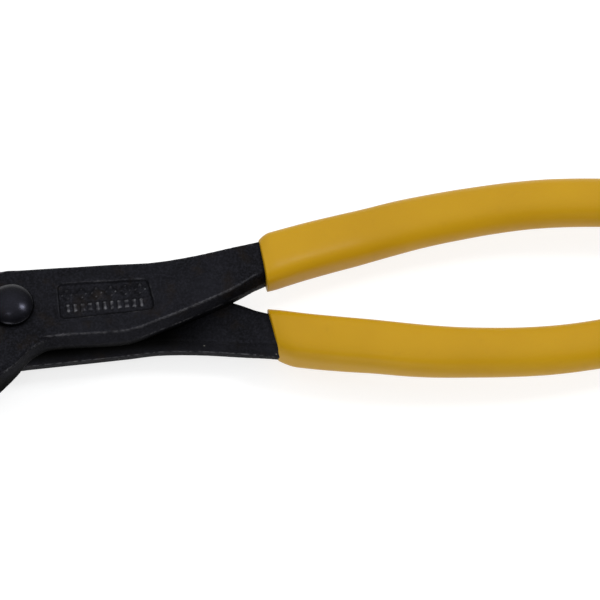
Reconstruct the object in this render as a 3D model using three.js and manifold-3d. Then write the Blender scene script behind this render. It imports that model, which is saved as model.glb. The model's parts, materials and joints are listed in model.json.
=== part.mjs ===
// Running pliers for breaking scored glass: two forged levers crossed on one rivet, dipped
// vinyl grips, wide jaws with slide-on pads and a screw that sets how far the jaws close.
//
// Millimetres, +Z up. The tool lies on its side: X runs from the jaws (-X) to the handles (+X),
// the jaws open along Y and the rivet stands along Z. Everything is built round the rivet's axis,
// with the plane between the two levers at z = 0, and the last lines move the tool so that the
// origin is the middle of its underside.

import * as THREE from "three";
import { mergeVertices } from "three/addons/utils/BufferGeometryUtils.js";
import Module from "manifold-3d";

const wasm = await Module();
wasm.setup();

// ---------------------------------------------------------------- driving dimensions

// Joint
const plateThickness = 7.5; // each lever, where the two lie on each other
const jointGap = 0.1; // between the two levers
const bossRadius = 9.8; // round end of each lever about the rivet
const sweepClearance = 0.5; // round the other lever's boss and strap
const openAngle = 20; // degrees the jaws open from rest
const rivetRadius = 3.5;
const runningClearance = 0.08; // rivet in its holes, and screw in its thread
const rivetHeadRadius = 5.5;
const rivetRim = 0.9; // straight edge under the dome
const rivetDome = 2.6; // a low cap of a sphere
const rivetTailRadius = 5.2; // the closed end fills a countersink in the rear lever
const rivetTailDepth = 2;
const rivetTailProud = 0.4;

// Straps and handles
const neckHalf = 9.3; // half the width of the strap behind the joint
const draft = 0.7; // how far the parting line stands out from each face
const landHalf = 0.3; // half the height of the trimmed parting line
const edgeEase = 0.35; // taken off the edges of the faces
const gripEase = 0.9; // and under the grip
const mouthHalf = 4.45; // half the width where the grip starts
const shankHalf = 3.95; // half the width at the widest point of the bow
const shankThickness = 6.9; // of the handle at its far end
const gripStart = 61; // from the rivet to the grip's mouth
const handleLength = 162; // from the rivet to the end of the grip
const bow = 19.8; // the handle's centre line at its furthest from the middle
const endInset = 3.8; // how far it has come back at the end
const crankLength = 26; // over which the handle returns to the middle plane

// Grips
const gripWall = 1.6;
const gripEndWall = 4;
const gripEndRound = 8; // length over which the end closes
const gripGap = 0.25; // between the vinyl and the steel
const gripRound = 2.8; // 2 is an ellipse, and more is squarer
const dipSkew = 0.065; // slope of the dip line across the tool
const skewFade = 20; // length over which the slope dies out along the grip
const dipDepths = { upper: 0, lower: 0.4 };

// Jaws
const jawWidth = 25.4;
const jawReach = 41.5; // from the rivet to the steel tip
const barLength = 12; // steel under the pad
const jawGap = 4.4; // the flat sheet that just fits between the pads at rest
const crown = 1.5; // rise of the lower jaw's middle over its sides
const padThickness = 2;
const padGap = 0.15;
const padFrontLeg = 5;
const padRearLeg = 2;
const bellyDepth = 20.6; // the jaw's outside at its furthest from the middle
const tipDepth = 11; // its outside at the tip
const rearSetBack = 3.5; // the rear lever's arm leaves the joint that much further forward
const throatDepth = 8.2; // half the height of the hollow behind the pads
const guideWidth = 0.8; // score guide cut into the upper jaw
const guideDepth = 0.5;

// Adjusting screw, in the upper jaw
const screwPlace = 20.5; // from the rivet
const screwRadius = 3;
const seatRadius = 6.4; // boss under the lock nut
const seatHeight = 0.8; // above the belly
const stopRadius = 4.2; // boss that the tip lands on
const stopHeight = 1.6; // above the throat
const closeAngle = 2.5; // degrees the jaws close from rest
const tipClearance = 0.15; // left at the tip when they are closed
const tipRadius = 3.6;
const tipLength = 4;
const tipStemRadius = 1.7;
const tipStemLength = 2.6;
const nutAcrossFlats = 10;
const nutHeight = 3.2;
const nutGap = 0.1;
const headRadius = 7;
const headHeight = 6;
const headTeeth = 26;
const toothDepth = 0.5;
const headStandOff = 1.2; // over the lock nut

// Marked panel
const panelStart = 11.3;
const panelLength = 22.6;
const panelHalf = 4.75;
const panelOffset = 0.3; // its middle line, off the rivet's
const panelCorner = 1.6;
const panelDepth = 0.6;
const markHeight = 0.4;
const lozenges = 6;
const bars = 11;

// ---------------------------------------------------------------- sizes that follow

const radians = THREE.MathUtils.degToRad;
const innerFace = jointGap / 2;
const outerFace = innerFace + plateThickness;
const halfJaw = jawWidth / 2;
const shankEnd = handleLength - gripEndWall;
const steelFace = jawGap / 2 + padThickness + padGap; // jaw steel, off the middle
const barRoot = -jawReach + barLength;
const stopFace = -throatDepth + stopHeight;
const tipEnd = stopFace + tipClearance + screwPlace * Math.sin(radians(closeAngle));
const seatFace = bellyDepth + seatHeight;
const nutTop = seatFace + nutGap + nutHeight;
const headUnder = nutTop + headStandOff;

// ---------------------------------------------------------------- materials

const blackSteel = new THREE.MeshStandardMaterial({
  color: 0x1f1f23,
  roughness: 0.5,
  metalness: 0.6,
});
const yellowVinyl = new THREE.MeshStandardMaterial({
  color: 0xdca11e,
  roughness: 0.45,
  metalness: 0,
});
const blackRubber = new THREE.MeshStandardMaterial({
  color: 0x1a1a1a,
  roughness: 0.8,
  metalness: 0,
});
const zincSteel = new THREE.MeshStandardMaterial({
  color: 0xb4b6b8,
  roughness: 0.35,
  metalness: 0.9,
});
const whiteNylon = new THREE.MeshStandardMaterial({
  color: 0xe6e2d6,
  roughness: 0.5,
  metalness: 0,
});

// ---------------------------------------------------------------- tools

// A geometry as a solid that can be joined and cut.
function solid(geometry) {
  const bare = new THREE.BufferGeometry().setAttribute(
    "position",
    (geometry.index ? geometry.toNonIndexed() : geometry).getAttribute("position"),
  );
  const merged = mergeVertices(bare, 1e-4);
  return new wasm.Manifold(
    new wasm.Mesh({
      numProp: 3,
      vertProperties: new Float32Array(merged.attributes.position.array),
      triVerts: new Uint32Array(merged.index.array),
    }),
  );
}

// A solid as a named mesh.
function meshOf(name, body, material) {
  const { vertProperties, triVerts } = body.getMesh();
  const geometry = new THREE.BufferGeometry();
  geometry.setAttribute("position", new THREE.BufferAttribute(vertProperties, 3));
  geometry.setIndex(new THREE.BufferAttribute(triVerts, 1));
  geometry.computeVertexNormals();
  const mesh = new THREE.Mesh(geometry, material);
  mesh.name = name;
  return mesh;
}

// A smooth curve y(x) through points given in order of x.
function curveThrough(points) {
  const slope = points.map((p, i) => {
    const before = points[Math.max(i - 1, 0)];
    const after = points[Math.min(i + 1, points.length - 1)];
    return (after[1] - before[1]) / (after[0] - before[0]);
  });
  return (x) => {
    const last = points.length - 1;
    if (x <= points[0][0]) return points[0][1];
    if (x >= points[last][0]) return points[last][1];
    const i = points.findIndex((p) => p[0] > x) - 1;
    const span = points[i + 1][0] - points[i][0];
    const t = (x - points[i][0]) / span;
    const [a, b] = [points[i][1], points[i + 1][1]];
    const [ma, mb] = [slope[i] * span, slope[i + 1] * span];
    return (
      a * (1 + 2 * t) * (1 - t) ** 2 +
      ma * t * (1 - t) ** 2 +
      b * t * t * (3 - 2 * t) -
      mb * t * t * (1 - t)
    );
  };
}

// Numbers from a to b, count steps apart.
function between(a, b, count) {
  return Array.from({ length: count + 1 }, (_, i) => a + ((b - a) * i) / count);
}

// A body whose cross-sections follow one another along X. The section is a list of [side, level]
// corners, anticlockwise, and place(x, side, level) puts a corner of the section at x.
function sweepAlongX(stations, section, place) {
  const turn = (2 * Math.PI) / section.length;
  const ring = section.map((_, k) => new THREE.Vector2(Math.cos(k * turn), Math.sin(k * turn)));
  const geometry = new THREE.ExtrudeGeometry(new THREE.Shape(ring), {
    depth: 1,
    steps: stations.length - 1,
    bevelEnabled: false,
  });
  const at = geometry.getAttribute("position");
  for (let i = 0; i < at.count; i++) {
    const corner = Math.round(Math.atan2(at.getY(i), at.getX(i)) / turn + section.length);
    const station = Math.round(at.getZ(i) * (stations.length - 1));
    const [side, level] = section[corner % section.length];
    at.setXYZ(i, ...place(stations[station], side, level));
  }
  return solid(geometry);
}

// A round body from its [radius, height] profile, standing along Z.
function turned(profile, segments = 48) {
  const lathe = new THREE.LatheGeometry(
    profile.map(([r, z]) => new THREE.Vector2(r, z)),
    segments,
  );
  return solid(lathe.rotateX(Math.PI / 2));
}

function rodAlongZ(radius, from, to, segments = 48) {
  const rod = new THREE.CylinderGeometry(radius, radius, to - from, segments);
  return solid(rod.rotateX(Math.PI / 2).translate(0, 0, (from + to) / 2));
}

function rodAlongY(radius, from, to, x, segments = 40) {
  const rod = new THREE.CylinderGeometry(radius, radius, to - from, segments);
  return solid(rod.translate(x, (from + to) / 2, 0));
}

// A flat shape in XY, thickened from one height to another.
function slab(shape, from, to) {
  const options = { depth: to - from, bevelEnabled: false, curveSegments: 6 };
  return solid(new THREE.ExtrudeGeometry(shape, options).translate(0, 0, from));
}

// ---------------------------------------------------------------- the lever's lines

const gripLength = handleLength - gripStart;

// Middle line of the strap and handle.
const middleLine = curveThrough([
  [0, 0.2],
  [12, 0.3],
  [27, 0],
  [34, 0.8],
  [43, 2.7],
  [52, 5.1],
  [gripStart - 1, 7.65],
  [gripStart + 0.12 * gripLength, bow - 8.1],
  [gripStart + 0.28 * gripLength, bow - 4.1],
  [gripStart + 0.43 * gripLength, bow - 1.6],
  [gripStart + 0.64 * gripLength, bow],
  [gripStart + 0.82 * gripLength, bow - 1.1],
  [handleLength, bow - endInset],
]);

// Half the width of the strap and handle, at the faces.
const halfWidth = curveThrough([
  [0, neckHalf + 0.3],
  [12, neckHalf - 0.1],
  [27, neckHalf - 0.2],
  [34, neckHalf - 1.3],
  [43, neckHalf - 2.5],
  [52, mouthHalf + 1.3],
  [gripStart - 1, mouthHalf + 0.3],
  [gripStart + 0.12 * gripLength, mouthHalf + 0.1],
  [gripStart + 0.3 * gripLength, mouthHalf],
  [gripStart + 0.6 * gripLength, shankHalf],
  [handleLength, shankHalf],
]);

// The strap lies on the other lever's, and under the grip it comes back to the middle plane.
const middleHeight = curveThrough([
  [gripStart - 3, (innerFace + outerFace) / 2],
  [gripStart - 2, (innerFace + outerFace) / 2],
  [gripStart - 2 + crankLength, 0],
  [gripStart + crankLength, 0],
]);

const halfThickness = curveThrough([
  [gripStart - 2, plateThickness / 2],
  [gripStart + crankLength, shankThickness / 2],
  [handleLength, shankThickness / 2],
]);

const ease = curveThrough([
  [gripStart - 8, edgeEase],
  [gripStart - 7, edgeEase],
  [gripStart, gripEase],
  [handleLength, gripEase],
]);

// The section of strap and handle, anticlockwise: [side, level], where level 3 is a face, 2 the
// eased edge below it and 1 the parting line. grow makes it that much larger all round.
const forgedSection = [-3, -2, -1, 1, 2, 3]
  .map((level) => [1, level])
  .concat([3, 2, 1, -1, -2, -3].map((level) => [-1, level]));

function forgedCorner(x, side, level, grow = 0) {
  const thick = halfThickness(x) + grow;
  const [wide, high] = {
    3: [halfWidth(x) - ease(x), thick],
    2: [halfWidth(x), thick - ease(x)],
    1: [halfWidth(x) + draft, landHalf + grow],
  }[Math.abs(level)];
  return [
    x,
    middleLine(x) + side * (wide + grow),
    middleHeight(x) + Math.sign(level) * high,
  ];
}

// Outside of the front lever's arm, from the jaw's tip back to the strap's edge.
const armOutside = curveThrough([
  [-jawReach, -tipDepth],
  [-0.82 * jawReach, -tipDepth - 4],
  [-0.62 * jawReach, -bellyDepth + 1.6],
  [-screwPlace + 3, -bellyDepth],
  [-11, -bellyDepth + 0.3],
  [-7.5, -bellyDepth + 1.2],
  [-4.5, -bellyDepth + 2.8],
  [0.3, -bossRadius - 4.8],
  [2.6, -bossRadius - 2.4],
  [5, -bossRadius - 0.8],
  [8, -neckHalf],
  [12, -neckHalf + 1],
]);

// The rear lever's arm narrows sooner towards the joint, where the front lever's covers it.
const rearArmOutside = (x) => armOutside(x + rearSetBack * THREE.MathUtils.smoothstep(x, -16, -8));

// The inside of both: the throat, up to the root of the jaw bar.
const armThroat = curveThrough([
  [barRoot, -throatDepth - 0.4],
  [barRoot + 4, -throatDepth],
  [-screwPlace, -throatDepth],
  [-bossRadius - 4, -throatDepth + 0.6],
  [-bossRadius, -throatDepth + 3],
  [0, 0],
]);

const armTop = curveThrough([
  [barRoot, halfJaw],
  [-screwPlace - 2, halfJaw - 1],
  [-12, outerFace + 1],
  [-6, outerFace],
  [12, outerFace],
]);

const armUnder = curveThrough([
  [barRoot, -halfJaw],
  [-screwPlace - 2, -halfJaw + 1],
  [-12, -outerFace - 0.5],
  [-4.5, -plateThickness / 2],
  [3, innerFace],
  [12, innerFace],
]);

// Height of the jaw's face over its plain line, across the width. The lower jaw is crowned and
// the upper one is hollow, so that a sheet rests on one ridge and two edges.
const crowned = (z) => -crown * (z / halfJaw) ** 2;
const hollow = (z) => crown * ((z / halfJaw) ** 2 - 1);

// ---------------------------------------------------------------- levers

const jawSteps = 8;

function strap() {
  const stations = [
    ...between(0, gripStart, 20),
    ...between(gripStart, gripStart + crankLength, 8).slice(1),
    ...between(gripStart + crankLength, shankEnd, 14).slice(1),
  ];
  return sweepAlongX(stations, forgedSection, forgedCorner);
}

function jawArm(face, outside) {
  const inside = between(-1, 1, jawSteps).map((level) => [1, level]);
  const section = [
    ...inside,
    [-0.75, 1],
    [-1, 0.8],
    [-1, -0.8],
    [-0.75, -1],
  ];
  const stations = [
    ...between(-jawReach, barRoot - 0.02, 6),
    ...between(barRoot, -bossRadius, 9),
    ...between(-bossRadius, 8, 12).slice(1),
  ];
  return sweepAlongX(stations, section, (x, side, level) => {
    const [under, top] = [armUnder(x), armTop(x)];
    const z = under + ((top - under) * (level + 1)) / 2;
    const inner = x < barRoot ? -steelFace + face(z) : armThroat(x);
    const y = outside(x) + ((inner - outside(x)) * (side + 1)) / 2;
    return [x, y, z];
  });
}

// Room for the other lever's boss and strap, which lie beyond the joint's plane.
function otherLeversRoom() {
  const deep = halfJaw + 5;
  const reach = bossRadius + draft + sweepClearance;
  const boss = rodAlongZ(bossRadius + sweepClearance, -deep, innerFace, 64);
  const side = new THREE.BoxGeometry(80, 2 * reach, deep + innerFace);
  side.translate(40, 0, (innerFace - deep) / 2);
  return boss.add(solid(side.rotateZ(-radians(openAngle))));
}

function panelShape() {
  const [left, right] = [panelStart, panelStart + panelLength];
  const [low, high] = [panelOffset - panelHalf, panelOffset + panelHalf];
  const r = panelCorner;
  const shape = new THREE.Shape();
  shape.moveTo(left + r, low);
  shape.lineTo(right - r, low + 0.6);
  shape.quadraticCurveTo(right, low + 0.6, right, low + 0.6 + r);
  shape.lineTo(right - 0.7, high - 0.6 - r);
  shape.quadraticCurveTo(right - 0.8, high - 0.6, right - 0.8 - r, high - 0.6);
  shape.lineTo(left + r, high);
  shape.quadraticCurveTo(left, high, left, high - r);
  shape.lineTo(left, low + r);
  shape.quadraticCurveTo(left, low, left + r, low);
  return shape;
}

// Two rows of raised marks with no meaning: lozenges over short bars.
function panelMarks() {
  const floor = outerFace - panelDepth;
  const [from, to] = [floor - 0.1, floor + markHeight];
  const clear = 2.2;
  const run = panelLength - 2 * clear - 0.8;
  const rowOf = (count, y, halfX, halfY, corners) =>
    between(0, run, count - 1).map((along) => {
      const x = panelStart + clear + along;
      const points = corners.map(([u, v]) => new THREE.Vector2(x + u * halfX, y + v * halfY));
      return slab(new THREE.Shape(points), from, to);
    });
  const lozenge = [
    [-1, 0],
    [0, -1],
    [1, 0],
    [0, 1],
  ];
  const bar = [
    [-1, -1],
    [1, -1],
    [1, 1],
    [-1, 1],
  ];
  return [
    ...rowOf(lozenges, panelOffset + 1.7, 1.3, 1.3, lozenge),
    ...rowOf(bars, panelOffset - 1.9, 0.35, 0.9, bar),
  ];
}

function lever(face, outside) {
  const boss = rodAlongZ(bossRadius, innerFace, outerFace, 64);
  const arm = jawArm(face, outside).subtract(otherLeversRoom());
  let body = strap().add(boss).add(arm);
  body = body.subtract(slab(panelShape(), outerFace - panelDepth, outerFace + 1));
  for (const mark of panelMarks()) body = body.add(mark);
  return body.subtract(
    rodAlongZ(rivetRadius + runningClearance, innerFace - 1, outerFace + 1),
  );
}

// The front lever holds the upper handle and the lower jaw.
function frontLever() {
  const stop = rodAlongY(stopRadius, -throatDepth - 2, stopFace, -screwPlace);
  return lever(crowned, armOutside).add(stop);
}

// The rear lever is a like forging turned over, with the screw's seat and hole, the score guide
// and the countersink for the rivet's closed end. It is made here as the front one lies.
function rearLever() {
  const seat = rodAlongY(seatRadius, -seatFace, -throatDepth - 2, -screwPlace);
  const hole = rodAlongY(
    screwRadius + runningClearance,
    -seatFace - 1,
    -throatDepth + 2,
    -screwPlace,
  );
  const guide = sweepAlongX(
    between(-jawReach - 1, barRoot + 2, 8),
    [
      [1, -1],
      [1, 1],
      [-1, 1],
      [-1, -1],
    ],
    (x, side, level) => [
      x,
      armOutside(Math.max(x, -jawReach)) + (side > 0 ? guideDepth : -2),
      (level * guideWidth) / 2,
    ],
  );
  const sinkWide = rivetTailRadius + runningClearance;
  const sink = turned([
    [0, outerFace - rivetTailDepth],
    [rivetRadius + runningClearance, outerFace - rivetTailDepth],
    [sinkWide, outerFace],
    [sinkWide, outerFace + 1],
    [0, outerFace + 1],
  ]);
  const body = lever(hollow, rearArmOutside).add(seat);
  return body.subtract(hole).subtract(guide).subtract(sink);
}

// ---------------------------------------------------------------- the other pieces

function rivet() {
  const [under, tail] = [outerFace + runningClearance, -outerFace - rivetTailProud];
  const rimAngle = 2 * Math.atan2(rivetDome, rivetHeadRadius);
  const sphereRadius = rivetHeadRadius / Math.sin(rimAngle);
  const dome = between(rimAngle, 0, 10).map((a) => [
    sphereRadius * Math.sin(a),
    under + rivetRim + rivetDome - sphereRadius * (1 - Math.cos(a)),
  ]);
  return turned([
    [0, tail],
    [rivetTailRadius - 0.6, tail],
    [rivetTailRadius, tail + rivetTailProud],
    [rivetRadius, -outerFace + rivetTailDepth],
    [rivetRadius, under],
    [rivetHeadRadius - 0.3, under],
    ...dome,
  ]);
}

function roundSection(count) {
  const squared = (v) => Math.sign(v) * Math.abs(v) ** (2 / gripRound);
  return between(0, 2 * Math.PI, count)
    .slice(0, -1)
    .map((a) => [squared(Math.cos(a)), squared(Math.sin(a))]);
}

// A grip on the front lever's handle. Its mouth lies dip beyond gripStart and slopes by skew.
function grip(dip, skew) {
  const start = gripStart + dip;
  const roundFrom = handleLength - gripEndRound;
  const taper = (x) => {
    const over = Math.max(0, (x - roundFrom) / gripEndRound);
    return Math.cbrt(Math.max(0.04, 1 - over ** 3));
  };
  const stations = [
    ...between(start, gripStart + crankLength, 8),
    ...between(gripStart + crankLength, roundFrom, 12).slice(1),
    ...between(0, Math.PI / 2, 6)
      .slice(1)
      .map((a) => roundFrom + gripEndRound * Math.sin(a)),
  ];
  const outside = sweepAlongX(stations, roundSection(24), (x, side, level) => {
    const wide = halfWidth(x) + draft / 2 + gripWall;
    const slope = skew * Math.max(0, 1 - (x - start) / skewFade);
    const at = x - slope * (middleLine(x) + side * wide);
    const w = halfWidth(at) + draft / 2 + gripWall;
    const t = halfThickness(at) + gripWall;
    return [
      at,
      middleLine(at) + side * w * taper(at),
      middleHeight(at) + level * t * taper(at),
    ];
  });
  const inside = sweepAlongX(
    [
      ...between(gripStart - 6, gripStart + crankLength, 10),
      ...between(gripStart + crankLength, shankEnd + gripGap, 14).slice(1),
    ],
    forgedSection,
    (x, side, level) => forgedCorner(x, side, level, gripGap),
  );
  return outside.subtract(inside);
}

// A pad: a channel that slides onto the jaw bar from the side and wraps its two edges.
function pad(face) {
  const [tip, root] = [-jawReach, barRoot];
  const [out, wall] = [-jawGap / 2, padThickness];
  const steel = out - padThickness;
  const shape = new THREE.Shape();
  shape.moveTo(tip - padGap, steel);
  shape.lineTo(tip - padGap, steel - padFrontLeg);
  shape.lineTo(tip - padGap - wall, steel - padFrontLeg + 0.8);
  shape.lineTo(tip - padGap - wall, out - 0.9);
  shape.lineTo(tip - padGap - wall + 0.9, out);
  shape.lineTo(root + padGap + wall - 0.9, out);
  shape.lineTo(root + padGap + wall, out - 0.9);
  shape.lineTo(root + padGap + wall, steel - padRearLeg);
  shape.lineTo(root + padGap, steel - padRearLeg);
  shape.lineTo(root + padGap, steel);
  const geometry = new THREE.ExtrudeGeometry(shape, {
    depth: jawWidth,
    steps: jawSteps,
    bevelEnabled: false,
  }).translate(0, 0, -halfJaw);
  const at = geometry.getAttribute("position");
  for (let i = 0; i < at.count; i++) at.setY(i, at.getY(i) + face(at.getZ(i)));
  return solid(geometry);
}

// The screw's own line runs along Z here, from its tip up to its head.
const standUp = new THREE.Matrix4().makeRotationX(-Math.PI / 2);

function adjustingScrew() {
  const teeth = headTeeth * 2;
  const points = Array.from({ length: teeth }, (_, i) => {
    const r = headRadius - (i % 2 ? toothDepth : 0);
    const a = (2 * Math.PI * i) / teeth;
    return new THREE.Vector2(r * Math.cos(a), r * Math.sin(a));
  });
  const head = slab(new THREE.Shape(points), headUnder, headUnder + headHeight);
  const shoulder = tipEnd + tipLength + runningClearance;
  const stem = turned([
    [0, shoulder - tipStemLength],
    [tipStemRadius, shoulder - tipStemLength],
    [tipStemRadius, shoulder],
    [screwRadius - 0.5, shoulder],
    [screwRadius, shoulder + 0.5],
    [screwRadius, headUnder + 1],
    [0, headUnder + 1],
  ]);
  return head.add(stem);
}

function screwTip() {
  const bore = tipStemRadius + runningClearance;
  return turned([
    [0, tipEnd],
    [tipRadius - 0.8, tipEnd],
    [tipRadius, tipEnd + 0.8],
    [tipRadius, tipEnd + tipLength],
    [bore, tipEnd + tipLength],
    [bore, tipEnd + tipLength - tipStemLength - runningClearance],
    [0, tipEnd + tipLength - tipStemLength - runningClearance],
  ]);
}

function lockNut() {
  const corner = nutAcrossFlats / 2 / Math.cos(Math.PI / 6);
  const points = between(0, 2 * Math.PI, 6)
    .slice(0, -1)
    .map((a) => new THREE.Vector2(corner * Math.cos(a), corner * Math.sin(a)));
  const hex = slab(new THREE.Shape(points), seatFace + nutGap, nutTop);
  return hex.subtract(
    rodAlongZ(screwRadius + runningClearance, seatFace - 1, nutTop + 1, 40),
  );
}

// ---------------------------------------------------------------- assembly

const tool = new THREE.Group();

const turnedOver = new THREE.Group();
turnedOver.rotation.x = Math.PI;

tool.add(meshOf("front_lever", frontLever(), blackSteel));
tool.add(meshOf("upper_grip", grip(dipDepths.upper, dipSkew), yellowVinyl));
tool.add(meshOf("lower_jaw_pad", pad(crowned), blackRubber));
tool.add(meshOf("pivot_rivet", rivet(), blackSteel));

turnedOver.add(meshOf("rear_lever", rearLever(), blackSteel));
turnedOver.add(meshOf("lower_grip", grip(dipDepths.lower, -dipSkew), yellowVinyl));
turnedOver.add(meshOf("upper_jaw_pad", pad(hollow), blackRubber));
tool.add(turnedOver);

for (const [name, body, material] of [
  ["adjusting_screw", adjustingScrew(), zincSteel],
  ["screw_tip", screwTip(), whiteNylon],
  ["lock_nut", lockNut(), zincSteel],
]) {
  const mesh = meshOf(name, body, material);
  mesh.applyMatrix4(standUp);
  mesh.position.x = -screwPlace;
  tool.add(mesh);
}

// The origin is the middle of the underside.
const box = new THREE.Box3().setFromObject(tool);
const middle = box.getCenter(new THREE.Vector3());
tool.position.set(-middle.x, -middle.y, -box.min.z);

const part = new THREE.Group();
part.add(tool);

export default part;
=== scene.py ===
# %% [markdown]
# # Running pliers
#
# Running pliers snap a sheet of glass along a scored line. Two forged levers cross on one rivet.
# Their handles are dipped in yellow plastisol, their wide jaws carry rubber pads, and a screw in
# the upper jaw sets how far the jaws close. The sizes, the places and the joints come from the
# frame, which holds every piece as a plain solid. This script gives each piece its real surface:
# rounded forging edges, a dipped lip, a thread, a knurl, and a finish for each material.

import json
import math

import bpy
import numpy as np
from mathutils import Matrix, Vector, noise


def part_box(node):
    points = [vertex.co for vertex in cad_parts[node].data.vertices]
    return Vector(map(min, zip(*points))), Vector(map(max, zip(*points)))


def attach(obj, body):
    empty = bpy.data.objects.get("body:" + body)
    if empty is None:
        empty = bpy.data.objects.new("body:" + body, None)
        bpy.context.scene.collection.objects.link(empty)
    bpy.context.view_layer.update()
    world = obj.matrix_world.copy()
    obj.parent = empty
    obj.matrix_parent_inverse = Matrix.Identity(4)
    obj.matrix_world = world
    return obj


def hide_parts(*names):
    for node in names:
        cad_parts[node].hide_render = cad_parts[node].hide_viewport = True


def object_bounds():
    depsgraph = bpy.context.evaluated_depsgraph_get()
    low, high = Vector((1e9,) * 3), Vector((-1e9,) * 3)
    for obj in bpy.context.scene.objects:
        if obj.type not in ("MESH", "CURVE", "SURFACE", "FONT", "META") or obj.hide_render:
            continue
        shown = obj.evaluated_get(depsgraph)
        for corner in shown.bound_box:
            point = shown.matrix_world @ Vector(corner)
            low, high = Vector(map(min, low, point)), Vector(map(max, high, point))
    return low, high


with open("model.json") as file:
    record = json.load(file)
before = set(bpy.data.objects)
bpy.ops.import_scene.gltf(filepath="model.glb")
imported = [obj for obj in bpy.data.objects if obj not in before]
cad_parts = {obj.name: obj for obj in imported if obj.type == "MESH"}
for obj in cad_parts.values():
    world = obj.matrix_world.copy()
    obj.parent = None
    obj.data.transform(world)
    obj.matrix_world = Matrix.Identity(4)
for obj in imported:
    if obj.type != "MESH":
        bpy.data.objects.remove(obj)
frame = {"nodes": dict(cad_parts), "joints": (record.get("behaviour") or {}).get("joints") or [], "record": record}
cad_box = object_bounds()
MM = 0.001
joints = {joint["name"]: joint for joint in frame["joints"]}
pivot = Vector(joints["jaw_hinge"]["pos_m"])
screw_axis = Vector(joints["screw_turn"]["pos_m"])
print("rivet at", [round(c / MM, 2) for c in pivot], "mm")

# %% [markdown]
# ## Camera
#
# The tool lies on its side and is seen from above and a little from its lower handle's side, so
# that the lower edge of each lever shows under its face. A long lens keeps the handles parallel.
# The camera looks at a point between the handles: the jaws and the handles' ends are outside its
# view.

# %% Camera
view_width = 142.9 * MM
camera_azimuth = math.radians(-5.4)
camera_elevation = math.radians(62)
aim = pivot + Vector((68.8, -0.7, 0)) * MM

lens = bpy.data.cameras.new("long_lens")
lens.lens = 600
distance = view_width * lens.lens / lens.sensor_width
backwards = Vector((
    math.sin(camera_azimuth) * math.cos(camera_elevation),
    -math.cos(camera_azimuth) * math.cos(camera_elevation),
    math.sin(camera_elevation),
))
lens.clip_start = distance / 20
lens.clip_end = distance * 20
camera = bpy.data.objects.new("camera", lens)
camera.location = aim + backwards * distance
camera.rotation_mode = "QUATERNION"
camera.rotation_quaternion = (-backwards).to_track_quat("-Z", "Y")
bpy.context.scene.collection.objects.link(camera)
bpy.context.scene.camera = camera
print("camera", round(distance, 3), "m from the tool")

# %% [markdown]
# ## Helpers for materials
#
# A colour is written as the hex value a picture editor shows. Blender's sockets want linear
# light, so one function turns the one into the other. A second one adds a node with its settings
# and links, and gives back the output that the next node needs. Pattern sizes are given in
# millimetres, and a third one turns them into the scale that a texture node takes, because object
# coordinates are in metres.

# %% Material helpers
def linear(hex_colour):
    channels = [int(hex_colour[i:i + 2], 16) / 255 for i in (0, 2, 4)]
    curve = [c / 12.92 if c <= 0.04045 else ((c + 0.055) / 1.055) ** 2.4 for c in channels]
    return (*curve, 1)


def add_node(tree, kind, output, inputs=None, **settings):
    """A node with its settings, values and links, as its named output."""
    made = tree.nodes.new(kind)
    for name, value in settings.items():
        setattr(made, name, value)
    for name, value in (inputs or {}).items():
        if isinstance(value, bpy.types.NodeSocket):
            tree.links.new(value, made.inputs[name])
        else:
            made.inputs[name].default_value = value
    return made.outputs[output]


def per_mm(size):
    """Texture scale for a pattern that repeats every size millimetres."""
    return 1 / (size * MM)


def new_material(name):
    """A material, its node tree, its surface shader and its object coordinates."""
    material = bpy.data.materials.new(name)
    material.use_nodes = True
    tree = material.node_tree
    place = add_node(tree, "ShaderNodeTexCoord", "Object")
    return material, tree, tree.nodes["Principled BSDF"].inputs, place


print("material helpers ready")
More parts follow.
